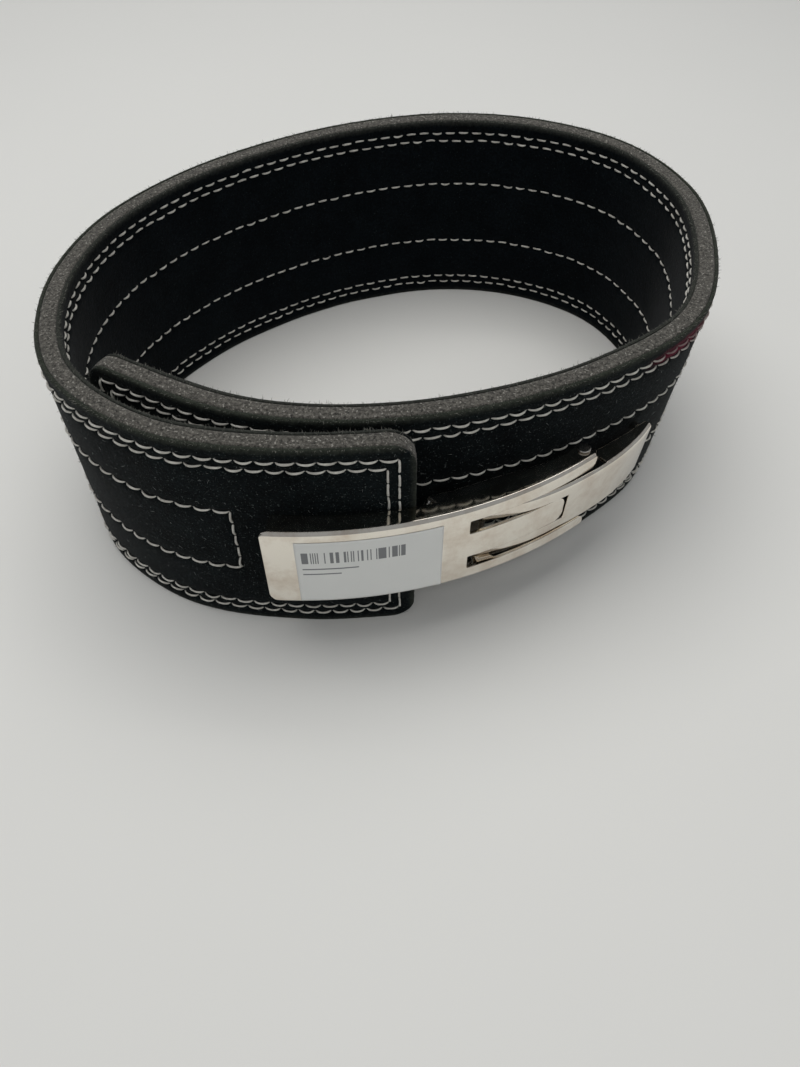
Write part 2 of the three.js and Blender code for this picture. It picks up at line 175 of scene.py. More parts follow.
def strap_points(u, offset, z):
    """Points of the strap: distance along, offset out from its middle, and height."""
    u, offset, z = np.broadcast_arrays(*(np.asarray(v, float) for v in (u, offset, z)))
    offset = offset - lean(u, z)
    inside = np.clip(u, 0, LENGTH)
    tx, ty = (np.interp(inside, LINE_AT, LINE_TANGENT[:, k]) for k in (0, 1))
    px, py = (np.interp(inside, LINE_AT, LINE[:, k]) for k in (0, 1))
    x = px + tx * (u - inside) - ty * offset
    y = py + ty * (u - inside) + tx * offset
    return np.stack([x, y, z], -1)


def smooth_noise(u, z, size, seed, octaves=3):
    """A smooth seeded wobble, about -1 to 1, whose bumps are about size across."""
    waves = 5
    phases = np.random.default_rng(seed)
    total = np.zeros(np.broadcast(u, z).shape)
    for octave in range(octaves):
        for _ in range(waves):
            angle = phases.uniform(0, math.tau)
            k = math.tau / size * (2 ** octave) * phases.uniform(0.6, 1.4)
            wave = k * (u * math.cos(angle) + z * math.sin(angle)) + phases.uniform(0, math.tau)
            total += np.sin(wave) / 2 ** octave / waves
    return total


# ---- Mesh helpers -----------------------------------------------------------------------

# A strap piece's UV is its place on the strap, (distance along, height), times this.
LIE_SCALE = 0.01


def linked(name, mesh):
    piece = bpy.data.objects.new(name, mesh)
    bpy.context.collection.objects.link(piece)
    return piece


def new_piece(name, points, faces, material, smooth=True, uv=None):
    """A mesh object from millimetre points; uv holds two numbers for each point."""
    mesh = bpy.data.meshes.new(name)
    mesh.from_pydata((np.asarray(points) * MM).tolist(), [], [tuple(map(int, f)) for f in faces])
    if uv is not None:
        layer = mesh.uv_layers.new(name="lie")
        corner = np.empty(len(mesh.loops), dtype=np.int32)
        mesh.loops.foreach_get("vertex_index", corner)
        layer.data.foreach_set("uv", np.asarray(uv)[corner].astype(np.float32).ravel())
    mesh.polygons.foreach_set("use_smooth", [smooth] * len(mesh.polygons))
    mesh.update()
    mesh.materials.append(material)
    return linked(name, mesh)


def grid_faces(rows, columns, start=0, flip=False):
    """Quads of a grid of points."""
    i = np.arange(rows - 1)[:, None] * columns + start
    j = np.arange(columns - 1)[None, :]
    below, above = i + j, i + columns + j
    quads = np.stack([below, above, above + 1, below + 1], -1).reshape(-1, 4)
    return quads[:, ::-1] if flip else quads


def ring_faces(rings, sides, start):
    """Faces of a closed tube: quads between its rings and a flat end at each end."""
    faces = []
    for k in range(start, start + (rings - 1) * sides, sides):
        for m in range(sides):
            n = (m + 1) % sides
            faces.append((k + m, k + n, k + sides + n, k + sides + m))
    last = start + (rings - 1) * sides
    faces.append(tuple(start + m for m in range(sides))[::-1])
    faces.append(tuple(last + m for m in range(sides)))
    return faces


def full_turn(sides):
    return np.linspace(0, math.tau, sides, endpoint=False)


def baked(piece):
    """Applies a piece's modifiers and returns it."""
    depsgraph = bpy.context.evaluated_depsgraph_get()
    mesh = bpy.data.meshes.new_from_object(piece.evaluated_get(depsgraph))
    piece.modifiers.clear()
    piece.data = mesh
    return piece


# ---- Strap ------------------------------------------------------------------------------


def corner_inset(u):
    """How far the strap's rounded corners pull its long edges in."""
    distance = np.clip(np.minimum(u, LENGTH - u), 0, CORNER)
    return CORNER - np.sqrt(CORNER ** 2 - (CORNER - distance) ** 2)


def edge_distance(u, z):
    """Distance from a point of a face to the nearest cut edge."""
    du, dz = np.minimum(u, LENGTH - u), np.minimum(z, WIDTH - z)
    in_corner = (du < CORNER) & (dz < CORNER)
    return np.where(in_corner, CORNER - np.hypot(CORNER - du, CORNER - dz), np.minimum(du, dz))


def row_loops():
    """Each sewn loop as its first and last distance along the strap and its two heights."""
    loops = [(row, LENGTH - row, row, WIDTH - row) for row in EDGE_ROWS]
    loops.append((MIDDLE_ENDS[0], LENGTH - MIDDLE_ENDS[1], MIDDLE_ROW, WIDTH - MIDDLE_ROW))
    return loops


def face_relief(u, z):
    """How far a suede face lies out from its flat place: grooves, puckers, soft waves."""
    wave, ripple = (0.22, 60, 3), (0.07, 7, 4)
    groove, pucker = (0.4, 1.0), (0.45, 1.5)
    relief = sum(depth * smooth_noise(u, z, size, seed) for depth, size, seed in (wave, ripple))
    for first, last, low, high in row_loops():
        du, dz = np.minimum(u - first, last - u), np.minimum(z - low, high - z)
        distance = np.abs(np.minimum(du, dz))
        run = np.where(dz < du, u - first, z - low)
        at_hole = (0.5 + 0.5 * np.cos(math.tau * run / STITCH_PITCH)) ** 3
        relief -= groove[0] * np.exp(-(distance / groove[1]) ** 2)
        relief -= pucker[0] * at_hole * np.exp(-(distance / pucker[1]) ** 2)
    return relief


def edge_round(distance):
    """How far a face drops as it rounds over into the cut edge."""
    radius, flatten = 0.7, 0.75
    inside = np.clip(radius - distance, 0, radius)
    return -(radius - np.sqrt(radius ** 2 - inside ** 2)) * flatten


def strap_columns():
    """The face grid's distances along the strap, closer together at its rounded ends."""
    corner_steps, spacing = 14, 1.4
    bend = CORNER * (1 - np.cos(np.linspace(0, math.pi / 2, corner_steps)))
    straight = LENGTH - 2 * CORNER
    middle = np.linspace(CORNER, LENGTH - CORNER, int(straight / spacing))[1:-1]
    return np.concatenate([bend, middle, (LENGTH - bend)[::-1]])


def strap_rows():
    """The face grid's heights, closer together at the edges and the sewn rows."""
    edge = [0, 0.35, 0.8, 1.4, 2.2, 3.4, 4.6, 5.3, 6.0, 6.7, 8.0, 9.3, 10.0, 10.7, 11.8, 14.0]
    middle = [18.0, 22.5, 27.0, 30.5, 32.4, 33.3, 34.2, 36.5, 40.0, 45.0]
    half = np.array(edge + middle)
    return np.concatenate([half, [WIDTH / 2], (WIDTH - half)[::-1]])


def border_loop(rows, columns):
    """Indices of a rows-by-columns grid's border, once round."""
    bottom = [i * columns for i in range(rows)]
    right = [(rows - 1) * columns + j for j in range(1, columns - 1)]
    top = [i * columns + columns - 1 for i in range(rows - 1, -1, -1)]
    left = [j for j in range(columns - 2, 0, -1)]
    return np.array(bottom + right + top + left)


def ply(name, material, side, face_offset, back_offset, wall, shown_face=True):
    """A closed layer of the strap. Its face is a fine grid, or plain where it is hidden. Its
    cut edge follows wall, pairs of (share of the thickness, how far it stands out)."""
    wall_rough, wall_grain, wall_seed = 0.12, 2.4, 8
    lowest = 0.02
    u, v = np.meshgrid(strap_columns(), strap_rows(), indexing="ij")
    z = corner_inset(u) + (WIDTH - 2 * corner_inset(u)) * v / WIDTH
    relief = np.zeros_like(u)
    if shown_face:
        relief = face_relief(u, z) + edge_round(edge_distance(u, z))
    rows, columns = u.shape
    border = border_loop(rows, columns)
    bu, bz = u.ravel()[border], z.ravel()[border]
    step = np.stack([np.roll(at, -1) - np.roll(at, 1) for at in (bu, bz)], 1)
    out = np.stack([step[:, 1], -step[:, 0]], 1) / np.linalg.norm(step, axis=1)[:, None]
    face = np.stack([u, z, face_offset + side * relief], -1).reshape(-1, 3)
    rings = []
    for share, stands in wall:
        reach = stands
        if 0 < share < 1:
            seed = wall_seed + int(share * 10)
            reach = stands + wall_rough * smooth_noise(bu, bz, wall_grain, seed)
        offset = face[border, 2] * (1 - share) + back_offset * share
        rings.append(np.stack([bu + out[:, 0] * reach, bz + out[:, 1] * reach, offset], 1))
    count = len(border)
    if shown_face:
        lie = [face, *rings[1:]]
        faces = [tuple(q) for q in grid_faces(rows, columns, flip=side < 0)]
        first = list(border)
        base = len(face)
    else:
        lie = rings
        first = list(range(count))
        base = count
    loops = [first] + [list(range(base + k * count, base + (k + 1) * count))
                       for k in range(len(rings) - 1)]
    if not shown_face:
        faces = strip_cap(loops[0], rows, columns, flip=side < 0)
    for a, b in zip(loops, loops[1:]):
        for m in range(count):
            n = (m + 1) % count
            quad = (a[m], b[m], b[n], a[n])
            faces.append(quad if side > 0 else quad[::-1])
    faces += strip_cap(loops[-1], rows, columns, flip=side > 0)
    lie = np.vstack(lie)
    points = strap_points(lie[:, 0], lie[:, 2], np.maximum(lie[:, 1], lowest))
    return new_piece(name, points, faces, material, uv=lie[:, :2] * LIE_SCALE)


def strip_cap(loop, rows, columns, flip):
    """Faces that close a border loop: quads across it, and one polygon at each end."""
    bottom = loop[:rows]
    right = loop[rows:rows + columns - 2]
    top = loop[rows + columns - 2:2 * rows + columns - 2][::-1]
    left = loop[2 * rows + columns - 2:][::-1]
    faces = [(bottom[i], bottom[i + 1], top[i + 1], top[i]) for i in range(1, rows - 2)]
    faces.append((bottom[0], bottom[1], top[1], top[0], *left[::-1]))
    faces.append((bottom[-2], bottom[-1], *right, top[-1], top[-2]))
    return [f[::-1] for f in faces] if flip else faces


def hooked_along():
    """Distance along the strap of the hook holes that the claw sits in."""
    distances = np.hypot(*(LINE - (np.array(HOOKED_AT) + PLAN_SHIFT)).T)
    return LINE_AT[int(np.argmin(distances))]


def punches():
    """Pegs that fill every hole punched through the strap."""
    pegs = [(hooked_along() + HOOK_PITCH * pair, z, HOOK_HOLE_R)
            for pair in range(HOOK_PAIRS) for z in HOOK_HEIGHTS]
    pegs += [(u, z, POST_HOLE_R) for u in POST_ALONG for z in POST_HEIGHTS]
    sides, clear = 24, 3
    turn = full_turn(sides)
    points, faces = [], []
    for u, z, radius in pegs:
        faces += ring_faces(2, sides, len(points) * sides)
        for offset in (-HALF - clear, HALF + clear):
            points.append(strap_points(u + radius * np.cos(turn), offset,
                                       z + radius * np.sin(turn)))
    return new_piece("punches", np.vstack(points), faces, leather)


def punched(piece, pegs):
    """Cuts the pegs out of a layer of the strap."""
    holes = piece.modifiers.new("holes", "BOOLEAN")
    holes.operation = "DIFFERENCE"
    holes.solver = "MANIFOLD"
    holes.object = pegs
    return baked(piece)


# ---- Stitches ---------------------------------------------------------------------------


def stitch_spans(stitch_length, first, last, low, high):
    """The start and end of every stitch round a loop, as (distance along, height)."""
    share = stitch_length / STITCH_PITCH
    corners = [(first, low), (last, low), (last, high), (first, high)]
    for (u0, z0), (u1, z1) in zip(corners, corners[1:] + corners[:1]):
        count = max(1, round(math.hypot(u1 - u0, z1 - z0) / STITCH_PITCH))
        for k in range(count):
            ends = ((k + 0.5 - share / 2) / count, (k + 0.5 + share / 2) / count)
            yield tuple((u0 + (u1 - u0) * t, z0 + (z1 - z0) * t) for t in ends)


def stitch_row(name, material, side, loop):
    """One thread's stitches on one face: each bows out of the suede between two holes."""
    rings, sides = 9, 7
    sunk, unevenness, flatten = -0.6, 0.22, 0.85
    t = np.linspace(0, 1, rings)
    arch = np.sin(math.pi * t)
    turn = full_turn(sides)
    ply_twist = 1 + 0.1 * np.cos(2 * turn[None, :] + 9 * t[:, None])
    points, faces, lies = [], [], []
    length, bow = OUTER_STITCH if side > 0 else INNER_STITCH
    for (u0, z0), (u1, z1) in stitch_spans(length, *loop):
        slip = rng.normal(0, unevenness, 4)
        u = u0 + (u1 - u0) * t + slip[0] * arch
        z = z0 + (z1 - z0) * t + slip[1] * arch + slip[2] * 0.5
        height = sunk + (bow + 0.35 + 0.2 * slip[3]) * arch ** 0.55
        radius = THREAD_R * np.minimum(1, 0.55 + 1.1 * arch) * (1 + 0.12 * slip[3])
        du, dz = u1 - u0, z1 - z0
        norm = math.hypot(du, dz)
        across = (-dz / norm, du / norm)
        lateral = radius[:, None] * ply_twist * np.cos(turn)[None, :]
        lift = radius[:, None] * ply_twist * np.sin(turn)[None, :] * flatten
        uu = u[:, None] + across[0] * lateral
        zz = z[:, None] + across[1] * lateral
        surface = HALF + face_relief(u, z)[:, None] * 0.5
        ring = strap_points(uu, side * (surface + height[:, None] + lift), zz)
        faces += ring_faces(rings, sides, len(points) * rings * sides)
        points.append(ring.reshape(-1, 3))
        lies.append(np.stack([uu, zz], -1).reshape(-1, 2))
    if side > 0:
        faces = [f[::-1] for f in faces]
    lies = np.vstack(lies) * LIE_SCALE
    return new_piece(name, np.vstack(points), faces, material, uv=lies)


# ---- Loose fibres -----------------------------------------------------------------------


def fibres(name, material, roots, directions, lengths, radius):
    """Slim closed three-sided spikes, each bent once."""
    curl = 0.45
    count = len(roots)
    directions = directions / np.linalg.norm(directions, axis=1)[:, None]
    helper = rng.normal(size=(count, 3))
    a = np.cross(directions, helper)
    a /= np.linalg.norm(a, axis=1)[:, None]
    b = np.cross(directions, a)
    bend = directions + rng.normal(0, curl, (count, 3))
    bend /= np.linalg.norm(bend, axis=1)[:, None]
    middle = roots + directions * (lengths * 0.5)[:, None]
    tip = middle + bend * (lengths * 0.5)[:, None]
    points = []
    for centre, size in ((roots, 1.0), (middle, 0.8)):
        for k in range(3):
            angle = math.tau * k / 3
            points.append(centre + (a * math.cos(angle) + b * math.sin(angle)) * radius * size)
    points.append(tip)
    points = np.stack(points, 1).reshape(-1, 3)
    base = np.arange(count)[:, None] * 7
    faces = [base + np.array(f) for f in ((2, 1, 0), (3, 4, 6), (4, 5, 6), (5, 3, 6))]
    quads = [base + np.array(f) for f in ((0, 1, 4, 3), (1, 2, 5, 4), (2, 0, 3, 5))]
    polygons = [tuple(f) for group in faces + quads for f in group]
    return new_piece(name, points, polygons, material, smooth=False)


def edge_fuzz(material):
    """Fibres along the strap's cut edges."""
    count, radius = 9000, 0.085
    u = rng.uniform(0, LENGTH, count)
    top = rng.random(count) < 0.6
    offset = rng.uniform(-HALF, HALF, count) * 0.97
    rim = rng.random(count) < 0.55
    offset = np.where(rim, np.sign(offset) * rng.uniform(3.2, 4.7, count), offset)
    inset = corner_inset(u)
    z = np.where(top, WIDTH - inset - 0.15, inset + 0.15)
    roots = strap_points(u, offset, z)
    outward = strap_points(u, offset + 1, z) - roots
    lean_out = rng.normal(0, 0.5, (count, 3))
    lean_out += outward * (offset / HALF * 0.9)[:, None]
    lean_out[:, 2] = np.where(top, 1, -1) * rng.uniform(0.15, 0.8, count)
    lengths = rng.uniform(0.4, 1.0, count) ** 2 * 2.1 * np.where(top, 1, 0.7)
    roots[:, 2] = np.clip(roots[:, 2], 0.6, None)
    lean_out[:, 2] = np.where(top, lean_out[:, 2], 0.05)
    return fibres("edge_fuzz", material, roots, lean_out, lengths, radius)


def face_nap(material):
    """Short fibres that stand off the outer face, seen along its outline."""
    count, radius, sunk = 8000, 0.07, 0.1
    u = rng.uniform(3, LENGTH - 3, count)
    z = rng.uniform(2.5, WIDTH - 2.5, count)
    surface = HALF + face_relief(u, z) - sunk
    roots = strap_points(u, surface, z)
    outward = strap_points(u, surface + 1, z) - roots
    lean_out = outward * rng.uniform(0.1, 0.9, count)[:, None]
    lean_out += rng.normal(0, 0.6, (count, 3))
    lengths = rng.uniform(0.4, 1.0, count) ** 2 * 1.9
    return fibres("outer_nap", material, roots, lean_out, lengths, radius)


def lint(material):
    """Pale hairs that lie on the outer face."""
    count, radius = 900, 0.055
    u = rng.uniform(3, LENGTH - 3, count)
    z = rng.uniform(3, WIDTH - 3, count)
    surface = HALF + face_relief(u, z)
    roots = strap_points(u, surface, z)
    ahead = strap_points(u + 1, surface, z) - roots
    outward = strap_points(u, surface + 1, z) - roots
    turn = rng.uniform(0, math.tau, count)
    lie = ahead * np.cos(turn)[:, None] + outward * rng.uniform(0.05, 0.3, count)[:, None]
    lie[:, 2] += np.sin(turn)
    return fibres("lint", material, roots, lie, rng.uniform(0.6, 2.4, count), radius)


# ---- Sheet-metal pieces -----------------------------------------------------------------


# Sheet metal is laid out flat, in (run along the lever, out from its face, height). These
# say which of the three a prism's outline and its depth take.
FACE = (0, 2, 1)
SIDE = (0, 1, 2)
END = (2, 1, 0)


def prism(outline, low, high, axes):
    """Points and faces of a prism."""
    count = len(outline)
    points = np.zeros((2 * count, 3))
    for k, height in enumerate((low, high)):
        block = points[k * count:(k + 1) * count]
        block[:, axes[0]] = [p[0] for p in outline]
        block[:, axes[1]] = [p[1] for p in outline]
        block[:, axes[2]] = height
    faces = [tuple(range(count)), tuple(range(2 * count - 1, count - 1, -1))]
    faces += [(k, k + count, (k + 1) % count + count, (k + 1) % count) for k in range(count)]
    return points, faces


def rounded(low, high, radii, steps=8):
    """A rectangle with its own radius at each corner, from the low corner round."""
    (x0, y0), (x1, y1) = low, high
    places = [((x0, y0), (1, 1), 180), ((x1, y0), (-1, 1), 270), ((x1, y1), (-1, -1), 0),
              ((x0, y1), (1, -1), 90)]
    outline = []
    for ((x, y), (sx, sy), start), radius in zip(places, radii):
        if radius == 0:
            outline.append((x, y))
            continue
        for angle in np.radians(np.linspace(start, start + 90, steps + 1)):
            outline.append((x + sx * radius + radius * math.cos(angle),
                            y + sy * radius + radius * math.sin(angle)))
    return outline


def disc(centre, radius, steps=24):
    angles = np.linspace(0, math.tau, steps, endpoint=False)
    return [(centre[0] + radius * math.cos(a), centre[1] + radius * math.sin(a)) for a in angles]


def skinned(piece, voxel, soften):
    """Adds one closed skin with softened edges over a piece's overlapping solids."""
    remesh = piece.modifiers.new("skin", "REMESH")
    remesh.mode = "VOXEL"
    remesh.voxel_size = voxel
    relax = piece.modifiers.new("soft", "SMOOTH")
    relax.factor = 0.5
    relax.iterations = soften


def thinned(piece, keep, material):
    """Reduces a piece's mesh to a share of its faces and gives it its material."""
    fewer = piece.modifiers.new("fewer", "DECIMATE")
    fewer.ratio = keep
    baked(piece)
    mesh = piece.data
    mesh.polygons.foreach_set("use_smooth", [True] * len(mesh.polygons))
    mesh.materials.clear()
    mesh.materials.append(material)
    return piece


def pressed(name, material, prisms, place):
    """Joins overlapping flat prisms into one skin, then bends it into place."""
    voxel, soften, keep = 0.26, 3, 0.25
    work = bmesh.new()
    for points, faces in prisms:
        vertices = [work.verts.new(p) for p in points]
        for face in faces:
            work.faces.new([vertices[i] for i in face])
    bmesh.ops.recalc_face_normals(work, faces=work.faces)
    mesh = bpy.data.meshes.new(name)
    work.to_mesh(mesh)
    work.free()
    piece = linked(name, mesh)
    skinned(piece, voxel, soften)
    baked(piece)
    mesh = piece.data
    points = np.empty(len(mesh.vertices) * 3)
    mesh.vertices.foreach_get("co", points)
    points = place(points.reshape(-1, 3)) * MM
    mesh.vertices.foreach_set("co", points.ravel())
    mesh.update()
    return thinned(piece, keep, material)


def run_at(degrees):
    """Distance along the lever's outer face at an angle."""
    return LEVER_R * math.radians(degrees)


def folded(points, low, high):
    """Rounds the two long folds between a plate's face and its flanges."""
    points = points.copy()
    middle, half = (low + high) / 2, (high - low) / 2
    sign = np.sign(points[:, 2] - middle)
    a = points[:, 1] + FOLD_R
    b = np.abs(points[:, 2] - middle) - half + FOLD_R
    inside = (a > 0) & (b > 0)
    scale = np.where(inside, np.maximum(a, b) / np.maximum(np.hypot(a, b), 1e-9), 1)
    points[:, 1] = np.where(inside, a * scale - FOLD_R, points[:, 1])
    round_height = middle + sign * (b * scale + half - FOLD_R)
    points[:, 2] = np.where(inside, round_height, points[:, 2])
    return points


def bend_lever(points):
    points = folded(points, *LEVER_HEIGHTS)
    plan = polar(LEVER_R + points[:, 1], np.degrees(points[:, 0] / LEVER_R), BEND)
    return np.column_stack([plan, points[:, 2]])


def bend_claw(points):
    """Bends the claw along its crown, with its twist growing from its pivot."""
    twist_from, twist_over = 3, 8
    points = folded(points, *CLAW_HEIGHTS)
    degrees = np.degrees(points[:, 0] / LEVER_R)
    angles, radii = zip(*CLAW_CROWN)
    knots = np.linspace(angles[0], angles[-1], 80)
    smooth = running_mean(np.interp(knots, angles, radii), 4)
    free = np.clip((degrees - CLAW_PIVOT[1] - twist_from) / twist_over, 0, 1)
    twist = CLAW_TWIST * (points[:, 2] - WIDTH / 2) * free
    plan = polar(np.interp(degrees, knots, smooth) + points[:, 1] + twist, degrees, BEND)
    return np.column_stack([plan, points[:, 2]])


def mirrored(low, high):
    """A height range, and the same one on the other side of the middle height."""
    return ((low, high), (WIDTH - high, WIDTH - low))


def lever_piece(material):
    start, end = (run_at(a) for a in LEVER_ANGLES)
    slot, tongue_end = run_at(SLOT_START), run_at(TONGUE_END)
    overlap = 3
    low, high = LEVER_HEIGHTS
    plate = rounded((start, low), (slot, high), (LEVER_CORNERS[0], 0, 0, LEVER_CORNERS[1]))
    tongue = rounded((slot - overlap, TONGUE_HEIGHTS[0]), (tongue_end, TONGUE_HEIGHTS[1]),
                     (0, TONGUE_CORNER, TONGUE_CORNER, 0))
    prisms = [prism(plate, -SHEET, 0, FACE), prism(tongue, -SHEET, 0, FACE)]
    pivot = (run_at(MAIN_PIVOT[1]), MAIN_PIVOT[0] - LEVER_R)
    claw_pivot = (run_at(CLAW_PIVOT[1]), CLAW_PIVOT[0] - LEVER_R)
    arm_ends = (ARM_CORNERS, ARM_CORNERS[::-1])
    for corners, (arm_low, arm_high) in zip(arm_ends, mirrored(low, low + ARM_HEIGHT)):
        arm = rounded((slot - overlap, arm_low), (end, arm_high), (0, *corners, 0))
        prisms.append(prism(arm, -SHEET, 0, FACE))
    flange = [(start + 2.5, -SHEET / 2), (start + 2.5, -9.8), (run_at(17), -7.7),
              (run_at(31), -8.4), (pivot[0] - 2.6, pivot[1] - 3.2), (pivot[0], pivot[1] - 3.7),
              (pivot[0] + 2.2, pivot[1] - 2.4), (end, pivot[1]), (end, -SHEET / 2)]
    for flange_low, flange_high in mirrored(low, low + SHEET):
        prisms.append(prism(flange, flange_low, flange_high, SIDE))
    for lug_low, lug_high in mirrored(*LUG_HEIGHTS):
        lug = [(claw_pivot[0] - 5, -1), (claw_pivot[0] - 3, claw_pivot[1] - 1.5),
               (claw_pivot[0], claw_pivot[1] - 3), (claw_pivot[0] + 3, claw_pivot[1] - 1.5),
               (claw_pivot[0] + 5, -1)]
        prisms.append(prism(lug, lug_low, lug_high, SIDE))
    return pressed("lever_shell", material, prisms, bend_lever)


def claw_piece(material):
    low, high = CLAW_HEIGHTS
    solid, end = run_at(CLAW_SOLID_FROM), run_at(CLAW_END)
    overlap = 3
    eye = (run_at(CLAW_PIVOT[1]), CLAW_PIVOT[0] - CLAW_EYE_FACE_R)
    plate = rounded((solid, low), (end, high), (0, CLAW_CORNER, CLAW_CORNER, 0))
    prisms = [prism(plate, -SHEET, 0, FACE)]
    for rail_low, rail_high in mirrored(low, low + CLAW_RAIL):
        rail = rounded((eye[0], rail_low), (solid + overlap, rail_high), (0, 0, 0, 0))
        prisms.append(prism(rail, -SHEET, 0, FACE))
        prisms.append(prism(disc(eye, CLAW_EYE), rail_low, rail_high, SIDE))
    flange_start = run_at(CLAW_FLANGE_FROM)
    flange = [(flange_start, -SHEET / 2), (flange_start, -6.5), (flange_start + 2, -8.8),
              (run_at(44), -7.6), (run_at(48), -5.2), (end, -3.4), (end, -SHEET / 2)]
    for flange_low, flange_high in mirrored(low, low + SHEET):
        prisms.append(prism(flange, flange_low, flange_high, SIDE))
    turned_in = rounded((low, -3.6), (high, 0), (1.2, 1.2, 0, 0))
    prisms.append(prism(turned_in, end - SHEET, end, END))
    return pressed("claw_shell", material, prisms, bend_claw)


def refined_copy(node, name, material, voxel):
    """A copy of a CAD node's shape with its sharp edges softened."""
    soften, keep = 4, 0.5
    piece = linked(name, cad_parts[node].data.copy())
    skinned(piece, voxel * MM, soften)
    return thinned(piece, keep, material)


def prongs(material):
    """The claw's two hooks, in the hook holes."""
    rings, sides = 9, 16
    t = np.linspace(0, 1, rings)
    turn = full_turn(sides)
    offsets = HALF - PRONG_DEPTH + PRONG_LENGTH * t
    radius = PRONG_R * np.where(t < 0.1, 0.75, 1.0)
    points, faces = [], []
    for side in (-1, 1):
        height = WIDTH / 2 + side * PRONG_SPREAD
        prong = strap_points(hooked_along() + radius[:, None] * np.cos(turn), offsets[:, None],
                             height + radius[:, None] * np.sin(turn))
        faces += ring_faces(rings, sides, len(points) * rings * sides)
        points.append(prong.reshape(-1, 3))
    return new_piece("claw_prongs", np.vstack(points), faces, material)


def label_piece(material):
    """The paper label: a thin curved sheet, its far lower corner lifted a little."""
    glue, paper, corner_lift, curl_from = 0.08, 0.12, 5.0, 0.93
    a = np.radians(np.linspace(*LABEL_ANGLES, 60))
    z = np.linspace(*LABEL_HEIGHTS, 34)
    aa, zz = np.meshgrid(a, z, indexing="ij")
    s = (aa - a[0]) / (a[-1] - a[0])
    v = (zz - z[0]) / (z[-1] - z[0])
    lift = glue + corner_lift * np.clip(s - curl_from, 0, 1) * np.clip(0.5 - v, 0, 1)
    lift += 0.03 * smooth_noise(aa * 181, zz, 14, 21)
    layers = []
    for thick in (paper, 0.0):
        plan = polar(LEVER_R + lift + thick, np.degrees(aa), BEND)
        layers.append(np.concatenate([plan, zz[..., None]], -1).reshape(-1, 3))
    rows, columns = aa.shape
    count = rows * columns
    faces = [tuple(q) for q in grid_faces(rows, columns, flip=True)]
    faces += [tuple(q) for q in grid_faces(rows, columns, start=count)]
    border = border_loop(rows, columns)
    for m, n in zip(border, np.roll(border, -1)):
        faces.append((n, m, m + count, n + count)[::-1])
    lie = np.tile(np.stack([s, v], -1).reshape(-1, 2), (2, 1))
    return new_piece("label_sheet", np.vstack(layers), faces, material, uv=lie)


# ---- Materials --------------------------------------------------------------------------


class Shader:
    """A node material, with short names for the nodes it is built from."""

    def __init__(self, name):
        self.material = bpy.data.materials.new(name)
        self.material.use_nodes = True
        self.tree = self.material.node_tree
        self.surface = self.tree.nodes["Principled BSDF"]
        self.coords = self.tree.nodes.new("ShaderNodeTexCoord").outputs["Object"]
        self.lie = self.node("UVMap", uv_map="lie").outputs["UV"]

    def feed(self, value, socket):
        if isinstance(value, bpy.types.NodeSocket):
            self.tree.links.new(value, socket)
        else:
            socket.default_value = value

    def node(self, kind, inputs=(), **settings):
        node = self.tree.nodes.new("ShaderNode" + kind)
        for key, value in settings.items():
            setattr(node, key, value)
        for key, value in dict(inputs).items():
            self.feed(value, node.inputs[key])
        return node

    def scaled(self, coords, scale):
        return self.node("Mapping", {"Vector": coords, "Scale": scale}).outputs["Vector"]

    def noise(self, scale, detail=4, rough=0.6, coords=None):
        return self.node("TexNoise", {"Vector": coords or self.coords, "Scale": scale,
                                      "Detail": detail, "Roughness": rough}).outputs["Fac"]

    def ramp(self, value, *stops):
        node = self.node("ValToRGB", {"Fac": value})
        elements = node.color_ramp.elements
        while len(elements) < len(stops):
            elements.new(0.5)
        for element, (position, colour) in zip(elements, stops):
            element.position = position
            element.color = (*colour, 1) if isinstance(colour, tuple) else (colour,) * 3 + (1,)
        return node.outputs["Color"]

    def mix(self, factor, a, b, blend="MIX"):
        node = self.node("Mix", {0: factor}, data_type="RGBA", blend_type=blend)
        for index, value in ((6, a), (7, b)):
            self.feed((*value, 1) if isinstance(value, tuple) else value, node.inputs[index])
        return node.outputs[2]

    def math(self, operation, a, b=0.0):
        return self.node("Math", {0: a, 1: b}, operation=operation).outputs[0]

    def bump(self, height, distance, strength=1.0, under=None):
        inputs = {"Height": height, "Distance": distance, "Strength": strength}
        if under is not None:
            inputs["Normal"] = under
        return self.node("Bump", inputs).outputs["Normal"]

    def set(self, **values):
        for key, value in values.items():
            self.feed(value, self.surface.inputs[key.replace("_", " ")])
        return self.material


def border_wear(shader):
    """1 at the strap's edges and ends, falling raggedly to 0 about 2.5 mm in."""
    place = shader.node("SeparateXYZ", {0: shader.lie})
    along, height = place.outputs["X"], place.outputs["Y"]
    half = WIDTH * LIE_SCALE / 2
    from_middle = shader.math("ABSOLUTE", shader.math("SUBTRACT", height, half))
    from_ends = shader.math("MAXIMUM", shader.math("SUBTRACT", half, along),
                            shader.math("SUBTRACT", along, LENGTH * LIE_SCALE - half))
    near = shader.math("MAXIMUM", from_middle, from_ends)
    ragged = shader.math("MULTIPLY", shader.math("SUBTRACT", shader.noise(500), 0.5), 0.03)
    return shader.ramp(shader.math("ADD", near, ragged), (0.475, 0.0), (0.502, 1.0))


